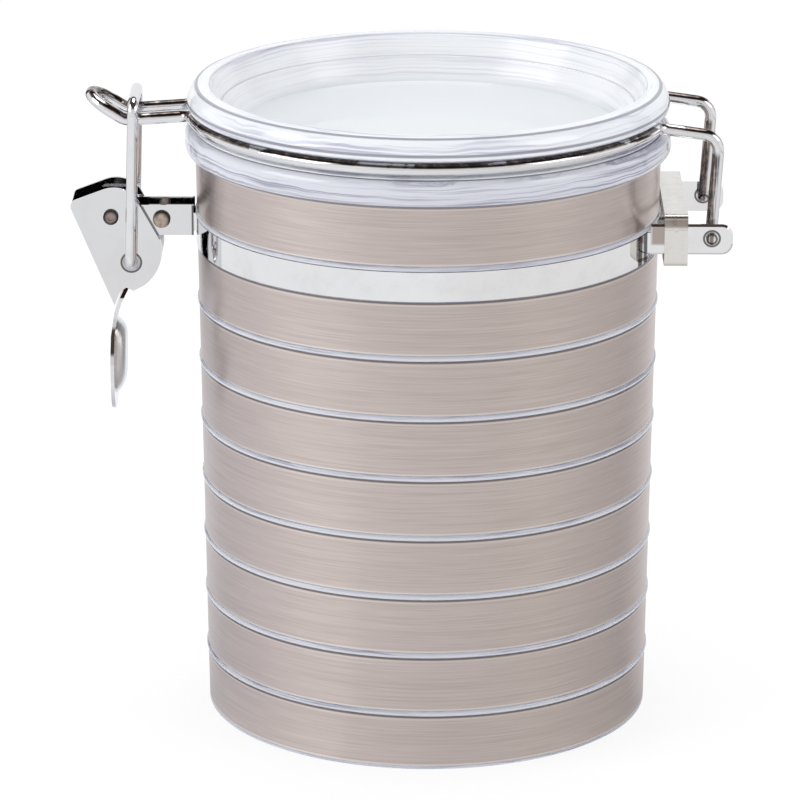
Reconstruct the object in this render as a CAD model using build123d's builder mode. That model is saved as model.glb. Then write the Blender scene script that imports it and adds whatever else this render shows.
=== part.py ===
from build123d import *
import os
from math import asin, cos, pi, radians, sin, sqrt

# Vacuum seal canister with a hinged lid held down by a wire bail and an over-centre latch.
# Origin at the centre of the cup's base, Z up, the latch on -X and the hinge on +X. Millimetres.

os.makedirs("parts", exist_ok=True)

# One overrun serves every cut.
overrun = 5.0

# The clear moulded cup. It widens a little towards its mouth.
base_radius = 60.0
draft_share = 0.0153
cup_wall = 3.4
base_thickness = 4.0
floor_corner = 4.0
foot_height = 0.8

# Moulded beads round the cup, with a thin metal wrap in each space between them.
bead_count = 7
first_bead_height = 15.7
bead_pitch = 16.43
bead_width = 1.6
bead_proud = 0.45
wrap_thickness = 0.5
wrap_gap = 0.05

# The clamp band in its groove over the last bead, and the neck bead that rests on it.
band_rise = 15.62
band_height = 7.8
band_thickness = 0.8
band_proud = 0.35
band_gap = 0.05
band_lip = 0.4
neck_bead_width = 1.5

# The thick clear collar at the mouth.
neck_height = 17.4
collar_foot_proud = 0.53
collar_reach = 2.1
collar_foot_height = 2.6
collar_side_height = 2.0
collar_crown_height = 2.5
collar_curve = 1.0
collar_shoulder = 1.5
collar_wall = 5.8
mouth_chamfer = 0.7

# The clear dished lid, with a waist for the wire and a plug that enters the mouth.
lid_gap = 0.2
flange_inset = 0.4
flange_edge = 0.4
flange_height = 1.9
waist_depth = 2.2
waist_height = 1.8
lid_rim_slope = 1.35
lid_rim_reach = 1.3
lid_rim_height = 1.75
lid_rim_bulge = 0.15
crown_height = 4.1
crown_width = 2.1
crown_drop = 0.32
crown_bulge = 0.35
crown_slope = 1.6
crown_land = 2.7
crown_edge = 0.8
dish_slope_width = 5.8
dish_depth = 12.1
dish_step_depth = 5.9
dish_step = 0.6
dish_corner = 1.4
dish_floor_thickness = 2.5
plug_inset = 5.2
plug_corner = 1.0
gasket_seat_inset = 0.8
gasket_seat_depth = 0.7

# The gasket, loose in its seat by a small gap all round.
gasket_gap = 0.1
gasket_side_gap = 0.4
gasket_bead = 0.3

# The bail, one wire bent round the lid's waist.
bail_wire_radius = 1.6
ring_gap = 0.8
hinge_reach = 11.9
hinge_arm_inset = 3.55
hinge_arm_lean = 1.7
hinge_arm_drop = 2.3
pin_end_reach = 0.55
pin_bend = 2.6
arm_bend = 4.4
ring_bend = 3.8
hinge_leave_gap = 3.15
nose_leave_gap = 3.3
nose_offset = 6.6
nose_reach = 17.5
nose_dip = 1.2
nose_bend = 5.0
nose_length = 9.3
nose_rise_share = 0.62

# The ears of the clamp band, where the bail is hinged.
ear_offset = 22.05
ear_thickness = 0.9
ear_rise = 1.8
ear_height = 8.3
ear_end_reach = 5.6
ear_clearance = 0.55
ear_end_round = 3.0
hinge_rise = 4.5
hinge_hole_gap = 0.08
hole_countersink = 0.6

# The keeper, a strap closed round both ears.
keeper_wall_gap = 0.05
keeper_width = 6.2
keeper_thickness = 0.9
keeper_drop = 3.2
keeper_height = 14.3
keeper_gap = 0.05
keeper_corner = 1.6
keeper_seam_rise = 10.4
keeper_seam_width = 0.4
keeper_seam_depth = 0.25
keeper_spot_radius = 0.7
keeper_spot_depth = 0.3

# The latch bracket, an open channel on the ends of the clamp band.
bracket_half_width = 5.2
bracket_thickness = 0.9
bracket_rise = 2.0
bracket_height = 8.1
bracket_wall_gap = 0.33
bracket_length = 26.7
bracket_corner = 2.2
band_tab_gap = 0.05
band_tab_reach = 3.95
bracket_rivet_from_pivot = (13.55, -0.85)
bracket_rivet_head = 2.35
bracket_head_thickness = 0.9
bracket_head_round = 0.3

# The rivets and how loosely things turn on them.
shaft_radius = 1.5
pivot_head = 2.05
pivot_head_thickness = 0.75
pivot_dimple = 0.9
pivot_dimple_depth = 0.4
running_gap = 0.06
fixed_gap = 0.02
head_gap = 0.06

# The lever, pressed from one sheet, with its web outside and a thumb tab below.
# The corners of its side outline and of its tab are given from the pivot.
pivot_end_reach = 4.6
pivot_drop = 2.75
lever_side_gap = 0.3
lever_sheet = 1.0
lever_heel_from_pivot = (-11.4, 3.8)
lever_crest_from_pivot = (-2.4, 7.2)
lever_brow_from_pivot = (1.0, 7.85)
lever_nose_from_pivot = (6.9, 5.2)
lever_lobe_top_from_pivot = (13.3, -6.6)
lever_lobe_side_from_pivot = (13.5, -10.65)
lever_lobe_low_from_pivot = (8.4, -19.25)
lever_chin_from_pivot = (5.8, -20.6)
lever_hollow_from_pivot = (3.8, -19.7)
lever_notch_from_pivot = (2.0, -21.1)
lever_tail_from_pivot = (0.6, -24.8)
lever_corner = 1.9
eye_chamfer = 0.75

# The thumb tab, a leaf with a thumb dish pressed into it. It springs from the lever's foot.
tab_root_from_pivot = (5.0, -17.7)
tab_neck_from_pivot = (2.1, -23.8)
tab_bend_from_pivot = (0.8, -27.6)
tab_knee_from_pivot = (0.0, -33.25)
tab_leaf_length = 27.25
tab_neck_half_width = 5.0
tab_half_width = 11.2
tab_widest_share = 0.49
tab_rim = 2.9
tab_dish_depth = 2.9
tab_dish_rise_share = 0.532
tab_dish_height_share = 0.396
tab_dish_shoulder_share = 0.75
tab_dish_shoulder_depth_share = 0.8
tab_dish_floor_share = 0.45
tab_dish_floor_rise_share = 0.587

# The draw loop, a wire yoke hung in the lever and hooked over the bail's nose.
loop_wire_radius = 1.5
loop_pin_from_pivot = (5.3, -12.65)
loop_leg_gap = 0.35
loop_pin_inset = 0.1
loop_bar_from_nose_bend = (2.4, 5.3)
loop_foot_bend = 2.5
loop_bar_bend = 3.2


def cup_radius(height):
    """Outside radius of the cup's plain wall at a height."""
    return base_radius + draft_share * height


def seat_radius(height):
    """Radius of the cup under a wrap at a height."""
    return cup_radius(height) - wrap_thickness - wrap_gap


def inner_radius(height):
    """Inside radius of the cup at a height."""
    return cup_radius(height) - cup_wall


def reach_at(radius, offset):
    """How far along X a circle about Z has come at a distance from the XZ plane."""
    return sqrt(radius**2 - offset**2)


def from_pivot(place):
    """A corner of the latch in side view, from its place beside the pivot."""
    return (pivot_x + place[0], pivot_height + place[1])


# Heights and radii of the cup, from the base up.
bead_heights = [first_bead_height + bead_pitch * i for i in range(bead_count)]
band_low = bead_heights[-1] + band_rise
band_top = band_low + band_height
neck_bead_top = band_top + neck_bead_width
collar_low = band_top + neck_height
collar_wide_low = collar_low + collar_foot_height
collar_wide_top = collar_wide_low + collar_side_height
rim_height = collar_wide_top + collar_crown_height
groove_low = band_low - band_gap
groove_top = band_top + band_gap
wrap_lows = [foot_height] + [h + bead_width / 2 for h in bead_heights] + [neck_bead_top]
wrap_tops = [h - bead_width / 2 for h in bead_heights] + [groove_low - band_lip, collar_low]
band_outer = cup_radius(band_low + band_height / 2) + band_proud
band_inner = band_outer - band_thickness
band_seat = band_inner - band_gap
neck_bead_radius = cup_radius(band_top + neck_bead_width / 2) + bead_proud
collar_foot_radius = cup_radius(collar_low) + collar_foot_proud
collar_radius = collar_foot_radius + collar_reach
rim_radius = collar_radius - collar_shoulder
mouth_radius = collar_radius - collar_wall

# Heights and radii of the lid, from the cup's rim.
lid_low = rim_height + lid_gap
waist_low = lid_low + flange_height
waist_top = waist_low + waist_height
lid_rim_low = waist_top + lid_rim_slope
lid_rim_side = lid_rim_low + lid_rim_height
lid_top = lid_rim_side + crown_height
dish_floor_height = lid_top - dish_depth
dish_step_height = lid_top - dish_step_depth
plug_low = dish_floor_height - dish_floor_thickness
flange_radius = rim_radius - flange_inset
waist_radius = flange_radius - waist_depth
lid_rim_radius = flange_radius + lid_rim_reach
crown_radius = lid_rim_radius - crown_width
land_radius = crown_radius - crown_slope
dish_top_radius = land_radius - crown_land
dish_floor_radius = dish_top_radius - dish_slope_width
plug_radius = mouth_radius - plug_inset
gasket_seat_radius = flange_radius - gasket_seat_inset

# Places of the bail, from the lid's waist and the clamp band.
ring_radius = waist_radius + bail_wire_radius + ring_gap
ring_height = (waist_low + waist_top) / 2
ear_low = band_low + ear_rise
hinge_x = ring_radius + hinge_reach
hinge_height = ear_low + hinge_rise
hinge_arm_offset = ear_offset - hinge_arm_inset
hinge_arm_top_x = hinge_x + hinge_arm_lean
hinge_arm_top = ring_height - hinge_arm_drop
hinge_pin_end = ear_offset + ear_thickness + pin_end_reach
nose_bend_x = -ring_radius - nose_reach
nose_bend_height = ring_height - nose_dip
nose_tip_x = nose_bend_x - nose_length

# Places of the latch, from the clamp band.
bracket_low = band_low + bracket_rise
bracket_start_x = -neck_bead_radius - bracket_wall_gap
bracket_end_x = bracket_start_x - bracket_length
pivot_x = bracket_end_x + pivot_end_reach
pivot_height = bracket_low + bracket_height - pivot_drop
bracket_rivet_x, bracket_rivet_height = from_pivot(bracket_rivet_from_pivot)
lever_half_width = bracket_half_width + lever_side_gap + lever_sheet
loop_pin_x, loop_pin_height = from_pivot(loop_pin_from_pivot)
loop_pin_inner = lever_half_width - lever_sheet + loop_pin_inset
loop_leg_offset = nose_offset + bail_wire_radius + loop_leg_gap + loop_wire_radius
loop_bar_x = nose_bend_x + loop_bar_from_nose_bend[0]
loop_bar_height = nose_bend_height + loop_bar_from_nose_bend[1]

# Cup: one profile turned about Z. Each bead is an arc between two wrap seats.
with BuildPart() as canister_body:
    with BuildSketch(Plane.XZ):
        with BuildLine():
            Polyline(
                (seat_radius(foot_height), foot_height),
                (cup_radius(foot_height), foot_height),
                (cup_radius(0), 0),
                (0, 0),
                (0, base_thickness),
                (inner_radius(base_thickness) - floor_corner, base_thickness),
            )
            RadiusArc(
                (inner_radius(base_thickness) - floor_corner, base_thickness),
                (inner_radius(base_thickness + floor_corner), base_thickness + floor_corner),
                -floor_corner,
            )
            Polyline(
                (inner_radius(base_thickness + floor_corner), base_thickness + floor_corner),
                (mouth_radius, rim_height - mouth_chamfer),
                (mouth_radius + mouth_chamfer, rim_height),
                (rim_radius, rim_height),
            )
            ThreePointArc(
                (rim_radius, rim_height),
                ((rim_radius + collar_radius) / 2 + collar_curve / 2, rim_height - collar_curve),
                (collar_radius, collar_wide_top),
            )
            Line((collar_radius, collar_wide_top), (collar_radius, collar_wide_low))
            ThreePointArc(
                (collar_radius, collar_wide_low),
                ((collar_foot_radius + collar_radius) / 2 + collar_curve / 2, collar_low + collar_curve / 2),
                (collar_foot_radius, collar_low),
            )
            Line((collar_foot_radius, collar_low), (seat_radius(collar_low), collar_low))
            for low, top in zip(wrap_lows, wrap_tops):
                Line((seat_radius(low), low), (seat_radius(top), top))
            for height in bead_heights:
                low = height - bead_width / 2
                top = height + bead_width / 2
                Line((seat_radius(low), low), (cup_radius(low), low))
                ThreePointArc(
                    (cup_radius(low), low),
                    (cup_radius(height) + bead_proud, height),
                    (cup_radius(top), top),
                )
                Line((cup_radius(top), top), (seat_radius(top), top))
            Polyline(
                (seat_radius(groove_low - band_lip), groove_low - band_lip),
                (cup_radius(groove_low), groove_low - band_lip),
                (cup_radius(groove_low), groove_low),
                (band_seat, groove_low),
                (band_seat, groove_top),
                (cup_radius(groove_top), groove_top),
            )
            ThreePointArc(
                (cup_radius(groove_top), groove_top),
                (neck_bead_radius, band_top + neck_bead_width / 2),
                (cup_radius(neck_bead_top), neck_bead_top),
            )
            Line(
                (cup_radius(neck_bead_top), neck_bead_top),
                (seat_radius(neck_bead_top), neck_bead_top),
            )
        make_face()
    revolve(axis=Axis.Z)
canister_body.part.label = "canister_body"
export_step(canister_body.part, "parts/canister_body.step")

# Wraps: a thin sleeve of sheet in each seat, wider towards the top like the cup.
for number, (low, top) in enumerate(zip(wrap_lows, wrap_tops), start=1):
    with BuildPart() as wrap:
        with BuildSketch(Plane.XZ):
            with BuildLine():
                Polyline(
                    (cup_radius(low) - wrap_thickness, low + wrap_gap),
                    (cup_radius(low), low + wrap_gap),
                    (cup_radius(top), top - wrap_gap),
                    (cup_radius(top) - wrap_thickness, top - wrap_gap),
                    close=True,
                )
            make_face()
        revolve(axis=Axis.Z)
    wrap.part.label = f"wrap_{number}"
    export_step(wrap.part, f"parts/wrap_{number}.step")

# Clamp band: two half rings of strip. Each ends in an ear at the hinge and in a tab at the latch.
band_tab_outer = bracket_half_width - bracket_thickness - band_tab_gap
band_tab_low = bracket_low + bracket_thickness + band_tab_gap
band_tab_end_x = bracket_rivet_x - band_tab_reach
latch_ring_x = -reach_at(band_inner, band_tab_outer - band_thickness)
ear_start_x = reach_at(band_inner + band_thickness / 2, ear_offset)
ear_clear_x = reach_at(neck_bead_radius, ear_offset) + ear_clearance
ear_end_x = hinge_x + ear_end_reach
past_band = band_outer + overrun
with BuildPart() as band_front:
    with BuildSketch(Plane.XY.offset(band_low)):
        Circle(band_outer)
        Circle(band_inner, mode=Mode.SUBTRACT)
        with BuildLine():
            Polyline(
                (-past_band, band_thickness - band_tab_outer),
                (0, band_thickness - band_tab_outer),
                (0, -ear_offset),
                (past_band, -ear_offset),
                (past_band, -past_band),
                (-past_band, -past_band),
                close=True,
            )
        make_face(mode=Mode.INTERSECT)
    extrude(amount=band_height)
    with BuildSketch(Plane.XZ.offset(ear_offset)):
        with BuildLine():
            Polyline(
                (ear_start_x, ear_low),
                (ear_end_x, ear_low),
                (ear_end_x, ear_low + ear_height),
                (ear_clear_x, ear_low + ear_height),
                (ear_clear_x, band_top),
                (ear_start_x, band_top),
                close=True,
            )
        make_face()
        fillet(vertices().group_by(Axis.X)[-1], ear_end_round)
        with Locations((hinge_x, hinge_height)):
            Circle(bail_wire_radius + hinge_hole_gap, mode=Mode.SUBTRACT)
    extrude(amount=ear_thickness)
    hole_edges = edges().filter_by(GeomType.CIRCLE).group_by(Axis.X)[-1]
    chamfer(hole_edges.sort_by(Axis.Y)[0], hole_countersink)
    with BuildSketch(Plane.XZ.offset(band_tab_outer - band_thickness)):
        with BuildLine():
            Polyline(
                (latch_ring_x, band_tab_low),
                (latch_ring_x, band_top),
                (band_tab_end_x, band_top),
                (band_tab_end_x, band_tab_low),
                close=True,
            )
        make_face()
        with Locations((bracket_rivet_x, bracket_rivet_height)):
            Circle(shaft_radius + fixed_gap, mode=Mode.SUBTRACT)
    extrude(amount=band_thickness)
band_front.part.label = "band_front"
export_step(band_front.part, "parts/band_front.step")

with BuildPart() as band_rear:
    mirror(band_front.part, about=Plane.XZ)
band_rear.part.label = "band_rear"
export_step(band_rear.part, "parts/band_rear.step")

# Latch bracket: a channel open at the top and both ends, its sides outside the band's tabs.
with BuildPart() as latch_bracket:
    with BuildSketch(Plane.XZ):
        with BuildLine():
            Polyline(
                (bracket_start_x, bracket_low),
                (bracket_end_x, bracket_low),
                (bracket_end_x, bracket_low + bracket_height),
                (bracket_start_x, bracket_low + bracket_height),
                close=True,
            )
        make_face()
        fillet(vertices().group_by(Axis.X)[0], bracket_corner)
    extrude(amount=bracket_half_width, both=True)
    with BuildSketch(Plane.XZ):
        with BuildLine():
            Polyline(
                (bracket_start_x + overrun, bracket_low + bracket_thickness),
                (bracket_end_x - overrun, bracket_low + bracket_thickness),
                (bracket_end_x - overrun, bracket_low + bracket_height + overrun),
                (bracket_start_x + overrun, bracket_low + bracket_height + overrun),
                close=True,
            )
        make_face()
    extrude(amount=bracket_half_width - bracket_thickness, both=True, mode=Mode.SUBTRACT)
    with BuildSketch(Plane.XZ):
        with Locations((pivot_x, pivot_height), (bracket_rivet_x, bracket_rivet_height)):
            Circle(shaft_radius + fixed_gap)
    extrude(amount=bracket_half_width, both=True, mode=Mode.SUBTRACT)
latch_bracket.part.label = "latch_bracket"
export_step(latch_bracket.part, "parts/latch_bracket.step")

# Bracket rivet: a plain shaft with a flat round head on each side of the bracket.
with BuildPart() as bracket_rivet:
    with BuildSketch(Plane.XZ):
        with Locations((bracket_rivet_x, bracket_rivet_height)):
            Circle(shaft_radius)
    extrude(amount=bracket_half_width + head_gap, both=True)
    for side in (-1, 1):
        with BuildSketch(Plane.XZ.offset(side * (bracket_half_width + head_gap))):
            with Locations((bracket_rivet_x, bracket_rivet_height)):
                Circle(bracket_rivet_head)
        extrude(amount=side * bracket_head_thickness)
    fillet(edges().group_by(Axis.Y)[0] + edges().group_by(Axis.Y)[-1], bracket_head_round)
bracket_rivet.part.label = "bracket_rivet"
export_step(bracket_rivet.part, "parts/bracket_rivet.step")

# Pivot rivet: the lever turns on its shaft. Its heads are dimpled.
with BuildPart() as pivot_rivet:
    with BuildSketch(Plane.XZ):
        with Locations((pivot_x, pivot_height)):
            Circle(shaft_radius)
    extrude(amount=lever_half_width + head_gap, both=True)
    for side in (-1, 1):
        with BuildSketch(Plane.XZ.offset(side * (lever_half_width + head_gap))):
            with Locations((pivot_x, pivot_height)):
                Circle(pivot_head)
        extrude(amount=side * pivot_head_thickness)
        with BuildSketch(Plane.XZ.offset(side * (lever_half_width + head_gap + pivot_head_thickness))):
            with Locations((pivot_x, pivot_height)):
                Circle(pivot_dimple)
        extrude(amount=-side * pivot_dimple_depth, mode=Mode.SUBTRACT)
pivot_rivet.part.label = "pivot_rivet"
export_step(pivot_rivet.part, "parts/pivot_rivet.step")

# Thumb tab: a strip of sheet bent in side view, cut to a leaf in front view, its middle pressed
# towards the cup to a dish.
tab_root = from_pivot(tab_root_from_pivot)
tab_neck = from_pivot(tab_neck_from_pivot)
tab_bend = from_pivot(tab_bend_from_pivot)
tab_knee = from_pivot(tab_knee_from_pivot)
tab_low = tab_bend[1] - tab_leaf_length
tab_widest = tab_low + tab_widest_share * tab_leaf_length
tab_root_half_width = lever_half_width - lever_sheet / 2
tab_dish_middle = tab_low + tab_dish_rise_share * tab_leaf_length
tab_dish_floor_middle = tab_low + tab_dish_floor_rise_share * tab_leaf_length
tab_dish_half_width = tab_half_width - tab_rim
tab_dish_half_height = tab_dish_height_share * tab_leaf_length
with BuildPart() as thumb_tab:
    with BuildSketch(Plane.XZ):
        with BuildLine():
            Polyline(tab_root, tab_neck, tab_bend, tab_knee, (tab_knee[0], tab_low))
        trace(line_width=lever_sheet)
    extrude(amount=tab_half_width, both=True)
    with BuildSketch(Plane.YZ.offset(pivot_x)):
        with BuildLine():
            Spline(
                (tab_neck_half_width, tab_bend[1]),
                (tab_half_width, tab_widest),
                tangents=((0, -1), (0, -1)),
            )
            Spline(
                (tab_half_width, tab_widest),
                (0, tab_low),
                tangents=((0, -1), (-1, 0)),
            )
            Polyline(
                (tab_neck_half_width, tab_bend[1]),
                (tab_root_half_width, tab_neck[1]),
                (tab_root_half_width, pivot_height),
                (0, pivot_height),
                (0, tab_low),
            )
        make_face()
        mirror(about=Plane.YZ)
    extrude(amount=overrun, both=True, mode=Mode.INTERSECT)
    for face_x, change in (
        (tab_knee[0] + lever_sheet / 2, Mode.ADD),
        (tab_knee[0] - lever_sheet / 2, Mode.SUBTRACT),
    ):
        for depth_share, middle, size_share in (
            (0, tab_dish_middle, 1),
            (
                tab_dish_shoulder_depth_share,
                (tab_dish_middle + tab_dish_floor_middle) / 2,
                tab_dish_shoulder_share,
            ),
            (1, tab_dish_floor_middle, tab_dish_floor_share),
        ):
            with BuildSketch(Plane.YZ.offset(face_x + depth_share * tab_dish_depth)):
                with Locations((0, middle)):
                    Ellipse(size_share * tab_dish_half_width, size_share * tab_dish_half_height)
        loft(mode=change)

# Lever: the side outline pressed to a channel whose web is on the outer side.
lever_heel = from_pivot(lever_heel_from_pivot)
lever_crest = from_pivot(lever_crest_from_pivot)
lever_brow = from_pivot(lever_brow_from_pivot)
lever_nose = from_pivot(lever_nose_from_pivot)
lever_lobe_top = from_pivot(lever_lobe_top_from_pivot)
lever_lobe_side = from_pivot(lever_lobe_side_from_pivot)
lever_lobe_low = from_pivot(lever_lobe_low_from_pivot)
lever_chin = from_pivot(lever_chin_from_pivot)
lever_hollow = from_pivot(lever_hollow_from_pivot)
lever_notch = from_pivot(lever_notch_from_pivot)
lever_tail = from_pivot(lever_tail_from_pivot)
web_rise = lever_heel[1] - lever_tail[1]
web_run = lever_tail[0] - lever_heel[0]
web_length = sqrt(web_rise**2 + web_run**2)
web_shift = lever_sheet * web_length / web_rise
with BuildPart() as lever:
    with BuildSketch(Plane.XZ):
        with BuildLine():
            Polyline(lever_tail, lever_heel, lever_crest)
            ThreePointArc(lever_crest, lever_brow, lever_nose)
            Line(lever_nose, lever_lobe_top)
            ThreePointArc(lever_lobe_top, lever_lobe_side, lever_lobe_low)
            Polyline(lever_lobe_low, lever_chin, lever_hollow, lever_notch, lever_tail)
        make_face()
        fillet(vertices().group_by(Axis.X)[0], lever_corner)
    extrude(amount=lever_half_width, both=True)
    with BuildSketch(Plane.XZ):
        with BuildLine():
            Polyline(
                (lever_tail[0] + web_shift + web_run, lever_tail[1] - web_rise),
                (lever_heel[0] + web_shift - web_run, lever_heel[1] + web_rise),
                (lever_lobe_side[0] + overrun, lever_heel[1] + web_rise),
                (lever_lobe_side[0] + overrun, lever_tail[1] - web_rise),
                close=True,
            )
        make_face()
    extrude(amount=lever_half_width - lever_sheet, both=True, mode=Mode.SUBTRACT)
    with BuildSketch(Plane.XZ):
        with Locations((pivot_x, pivot_height)):
            Circle(shaft_radius + running_gap)
        with Locations((loop_pin_x, loop_pin_height)):
            Circle(loop_wire_radius + running_gap)
    extrude(amount=lever_half_width, both=True, mode=Mode.SUBTRACT)
    holes = edges().filter_by(GeomType.CIRCLE).filter_by(lambda edge: edge.is_closed)
    eyes = holes.group_by(Axis.Z)[0].sort_by(Axis.Y)
    chamfer([eyes[0], eyes[-1]], eye_chamfer)
    add(thumb_tab.part)
lever.part.label = "lever"
export_step(lever.part, "parts/lever.step")

# Draw loop: half the yoke is swept along its wire line and mirrored.
with BuildPart() as draw_loop:
    with BuildLine() as loop_line:
        FilletPolyline(
            (loop_pin_x, -loop_pin_inner, loop_pin_height),
            (loop_pin_x, -loop_leg_offset, loop_pin_height),
            (loop_bar_x, -loop_leg_offset, loop_bar_height),
            (loop_bar_x, 0, loop_bar_height),
            radius=(loop_foot_bend, loop_bar_bend),
        )
    with BuildSketch(Plane(origin=loop_line.line @ 0, z_dir=loop_line.line % 0)):
        Circle(loop_wire_radius)
    sweep(path=loop_line.line)
    mirror(about=Plane.XZ)
draw_loop.part.label = "draw_loop"
export_step(draw_loop.part, "parts/draw_loop.step")

# Bail: hinge pin, arm, half the ring, and half the nose, then its mirror image.
ring_leave = asin((hinge_arm_offset + hinge_leave_gap) / ring_radius)
ring_join = pi - asin((nose_offset + nose_leave_gap) / ring_radius)
ring_middle = (ring_leave + ring_join) / 2
arm_run = (ring_radius * sin(ring_leave) - hinge_arm_offset) / cos(ring_leave)
arm_corner = ring_radius * cos(ring_leave) + arm_run * sin(ring_leave)
strand_run = -(ring_radius * sin(ring_join) - nose_offset) / cos(ring_join)
nose_corner = ring_radius * cos(ring_join) - strand_run * sin(ring_join)
tip_middle = radians(45)
nose_slant = sqrt(1 + nose_rise_share**2)
nose_centre_x = nose_tip_x + nose_offset / nose_slant
nose_centre_height = nose_bend_height + nose_rise_share * (nose_bend_x - nose_centre_x)
nose_tip_height = nose_bend_height + nose_rise_share * (nose_bend_x - nose_tip_x)
with BuildPart() as bail_wire:
    with BuildLine() as bail_line:
        FilletPolyline(
            (hinge_x, -hinge_pin_end, hinge_height),
            (hinge_x, -hinge_arm_offset, hinge_height),
            (hinge_arm_top_x, -hinge_arm_offset, hinge_arm_top),
            (arm_corner, -hinge_arm_offset, ring_height),
            (ring_radius * cos(ring_leave), -ring_radius * sin(ring_leave), ring_height),
            radius=(pin_bend, arm_bend, ring_bend),
        )
        ThreePointArc(
            (ring_radius * cos(ring_leave), -ring_radius * sin(ring_leave), ring_height),
            (ring_radius * cos(ring_middle), -ring_radius * sin(ring_middle), ring_height),
            (ring_radius * cos(ring_join), -ring_radius * sin(ring_join), ring_height),
        )
        FilletPolyline(
            (ring_radius * cos(ring_join), -ring_radius * sin(ring_join), ring_height),
            (nose_corner, -nose_offset, ring_height),
            (nose_bend_x, -nose_offset, nose_bend_height),
            (nose_centre_x, -nose_offset, nose_centre_height),
            radius=(ring_bend, nose_bend),
        )
        ThreePointArc(
            (nose_centre_x, -nose_offset, nose_centre_height),
            (
                nose_centre_x - nose_offset * sin(tip_middle) / nose_slant,
                -nose_offset * cos(tip_middle),
                nose_centre_height + nose_rise_share * nose_offset * sin(tip_middle) / nose_slant,
            ),
            (nose_tip_x, 0, nose_tip_height),
        )
    with BuildSketch(Plane(origin=bail_line.line @ 0, z_dir=bail_line.line % 0)):
        Circle(bail_wire_radius)
    sweep(path=bail_line.line)
    mirror(about=Plane.XZ)
bail_wire.part.label = "bail_wire"
export_step(bail_wire.part, "parts/bail_wire.step")

# Lid: one profile turned about Z.
step_share = dish_step_depth / dish_depth
step_radius = dish_top_radius - step_share * dish_slope_width
with BuildPart() as lid:
    with BuildSketch(Plane.XZ):
        with BuildLine():
            Polyline(
                (0, plug_low),
                (plug_radius - plug_corner, plug_low),
                (plug_radius, plug_low + plug_corner),
                (plug_radius, lid_low + gasket_seat_depth),
                (gasket_seat_radius, lid_low + gasket_seat_depth),
                (gasket_seat_radius, lid_low),
                (flange_radius, lid_low),
                (flange_radius, lid_low + flange_edge),
                (waist_radius, waist_low),
                (waist_radius, waist_top),
                (lid_rim_radius, lid_rim_low),
            )
            SagittaArc((lid_rim_radius, lid_rim_low), (lid_rim_radius, lid_rim_side), -lid_rim_bulge)
            SagittaArc((lid_rim_radius, lid_rim_side), (crown_radius, lid_top - crown_drop), -crown_bulge)
            Polyline(
                (crown_radius, lid_top - crown_drop),
                (land_radius, lid_top),
                (dish_top_radius + crown_edge, lid_top),
                (dish_top_radius, lid_top - crown_edge),
                (step_radius + dish_step / 2, dish_step_height),
                (step_radius - dish_step / 2, dish_step_height),
                (dish_floor_radius, dish_floor_height + dish_corner),
                (dish_floor_radius - dish_corner, dish_floor_height),
                (0, dish_floor_height),
                (0, plug_low),
            )
        make_face()
    revolve(axis=Axis.Z)
lid.part.label = "lid"
export_step(lid.part, "parts/lid.step")

# Gasket: a flat ring in the lid's seat, with a round bead that meets the cup's rim.
gasket_low = rim_height + gasket_gap
gasket_top = lid_low + gasket_seat_depth - gasket_gap / 2
gasket_inner = plug_radius + gasket_side_gap
gasket_outer = gasket_seat_radius - gasket_side_gap / 2
gasket_rest = mouth_radius + mouth_chamfer
with BuildPart() as gasket:
    with BuildSketch(Plane.XZ):
        with BuildLine():
            Polyline(
                (gasket_inner, gasket_low + gasket_bead),
                (gasket_inner, gasket_top),
                (gasket_outer, gasket_top),
                (gasket_outer, gasket_low),
                (gasket_rest, gasket_low),
            )
            ThreePointArc(
                (gasket_rest, gasket_low),
                ((gasket_inner + gasket_rest) / 2, gasket_low + gasket_bead / 4),
                (gasket_inner, gasket_low + gasket_bead),
            )
        make_face()
    revolve(axis=Axis.Z)
gasket.part.label = "gasket"
export_step(gasket.part, "parts/gasket.step")

# Keeper: a strap bent to a closed oblong round both ears, with a lapped seam and a weld spot.
keeper_x = neck_bead_radius + keeper_wall_gap
keeper_low = ear_low - keeper_drop
keeper_seam_height = keeper_low + keeper_seam_rise
keeper_half_depth = ear_offset + ear_thickness + keeper_gap + keeper_thickness
with BuildPart() as hinge_keeper:
    with BuildSketch(Plane.YZ.offset(keeper_x)):
        with Locations((0, keeper_low + keeper_height / 2)):
            RectangleRounded(2 * keeper_half_depth, keeper_height, keeper_corner)
            RectangleRounded(
                2 * (keeper_half_depth - keeper_thickness),
                keeper_height - 2 * keeper_thickness,
                keeper_corner - keeper_thickness,
                mode=Mode.SUBTRACT,
            )
    extrude(amount=keeper_width)
    with BuildSketch(Plane.XZ.offset(keeper_half_depth)):
        with Locations((keeper_x + keeper_width / 2, keeper_seam_height)):
            Rectangle(keeper_width, keeper_seam_width)
    extrude(amount=-keeper_seam_depth, mode=Mode.SUBTRACT)
    with Locations(
        Location((keeper_x + keeper_width / 2, -keeper_half_depth, keeper_seam_height), (90, 0, 0))
    ):
        Hole(keeper_spot_radius, keeper_spot_depth)
hinge_keeper.part.label = "hinge_keeper"
export_step(hinge_keeper.part, "parts/hinge_keeper.step")
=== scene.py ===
"""A clear vacuum seal canister with brushed metal wraps, dressed for a white studio picture."""

import logging
import math
from abc import ABC, abstractmethod
from dataclasses import dataclass
from enum import Enum
from typing import TypeAlias

import bpy
from mathutils import Matrix, Vector

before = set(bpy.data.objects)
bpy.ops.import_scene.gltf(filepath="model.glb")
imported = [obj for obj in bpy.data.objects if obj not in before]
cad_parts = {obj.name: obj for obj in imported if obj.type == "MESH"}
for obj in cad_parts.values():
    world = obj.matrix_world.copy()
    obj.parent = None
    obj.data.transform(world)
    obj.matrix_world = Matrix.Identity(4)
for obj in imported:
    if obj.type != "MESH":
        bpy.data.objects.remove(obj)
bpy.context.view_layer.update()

log = logging.getLogger("canister")

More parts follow.
